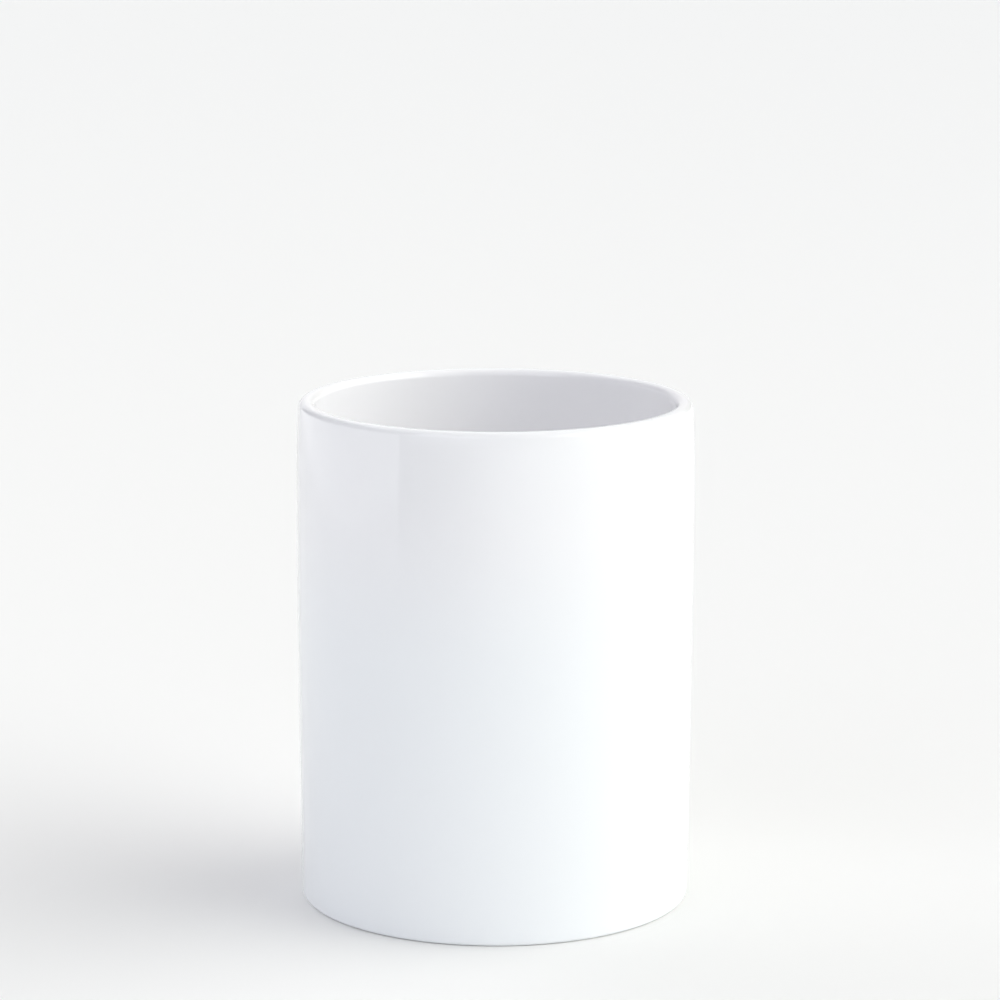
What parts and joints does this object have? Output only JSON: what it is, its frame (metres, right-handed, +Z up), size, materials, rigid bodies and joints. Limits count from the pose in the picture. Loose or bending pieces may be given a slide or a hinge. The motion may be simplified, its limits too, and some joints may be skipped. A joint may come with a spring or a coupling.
{
  "type": "utensil crock",
  "caption": "Tall round glazed crock, open at the top, that stands on a worktop and holds kitchen utensils upright.",
  "frame": {"origin": "centre of the foot ring, on the surface that the crock stands on", "axes": "+Z up along the crock's axis of revolution; +X and +Y lie in the surface, and the crock is round, so their direction is free"},
  "size_m": [0.14, 0.14, 0.1785],
  "materials": {
    "glaze": "clear gloss over a white body"
  },
  "bodies": {
    "root": {"crock": "glaze"}
  },
  "joints": []
}
